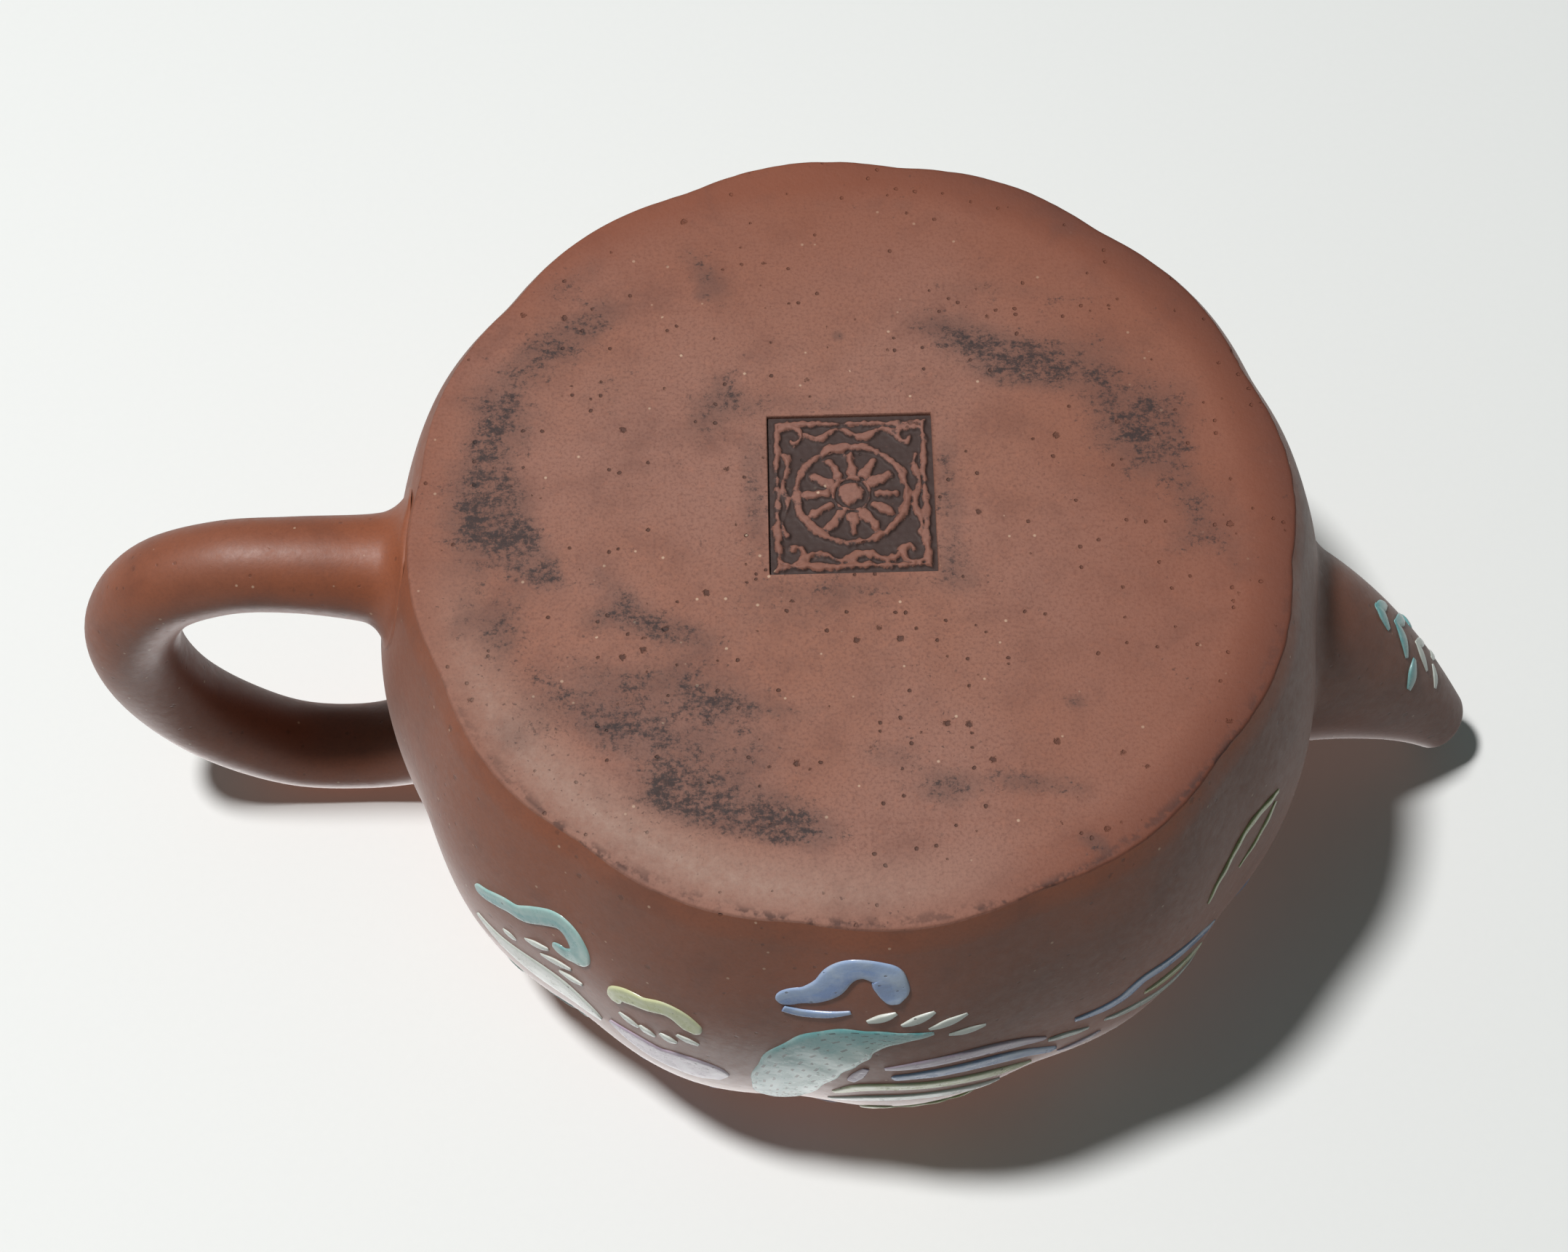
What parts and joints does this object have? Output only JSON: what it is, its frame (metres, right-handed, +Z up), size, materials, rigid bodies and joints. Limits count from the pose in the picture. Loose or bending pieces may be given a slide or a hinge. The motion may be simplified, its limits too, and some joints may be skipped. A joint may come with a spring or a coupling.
{
  "type": "teapot",
  "caption": "Squat lobed clay teapot with a loop handle, a short wide-rooted spout and a keyed lift-off lid with a bud knob.",
  "frame": {"origin": "on the body's upright axis, in the plane of the flat base that the pot stands on", "axes": "+Z up through the knob; +X towards the handle, -X towards the spout; -Y is the side whose decoration faces the viewer"},
  "size_m": [0.1711, 0.1136, 0.0838],
  "materials": {
    "clay": "matt, unglazed, slightly burnished",
    "clay_base": "matt, gritty, unglazed",
    "enamel_teal": "raised glossy enamel, slightly worn",
    "enamel_blue": "raised glossy enamel, slightly worn",
    "enamel_yellow": "raised glossy enamel, slightly worn",
    "enamel_white": "raised glossy enamel, slightly worn",
    "enamel_mauve": "raised glossy enamel, slightly worn"
  },
  "bodies": {
    "pot": {"base_disc": "clay_base", "lower_wall": "clay", "upper_wall": "clay", "shoulder": "clay", "mouth_collar": "clay", "spout": "clay", "handle": "clay", "enamel_teal": "enamel_teal", "enamel_blue": "enamel_blue", "enamel_yellow": "enamel_yellow", "enamel_white": "enamel_white", "enamel_mauve": "enamel_mauve"},
    "lid": {"lid_plate": "clay", "lid_flange": "clay", "lid_knob": "clay"}
  },
  "joints": [
    {"name": "lid_lift", "type": "slide", "parent": "pot", "child": "lid", "axis": [0, 0, 1], "range_m": [0, 0.07]}
  ]
}
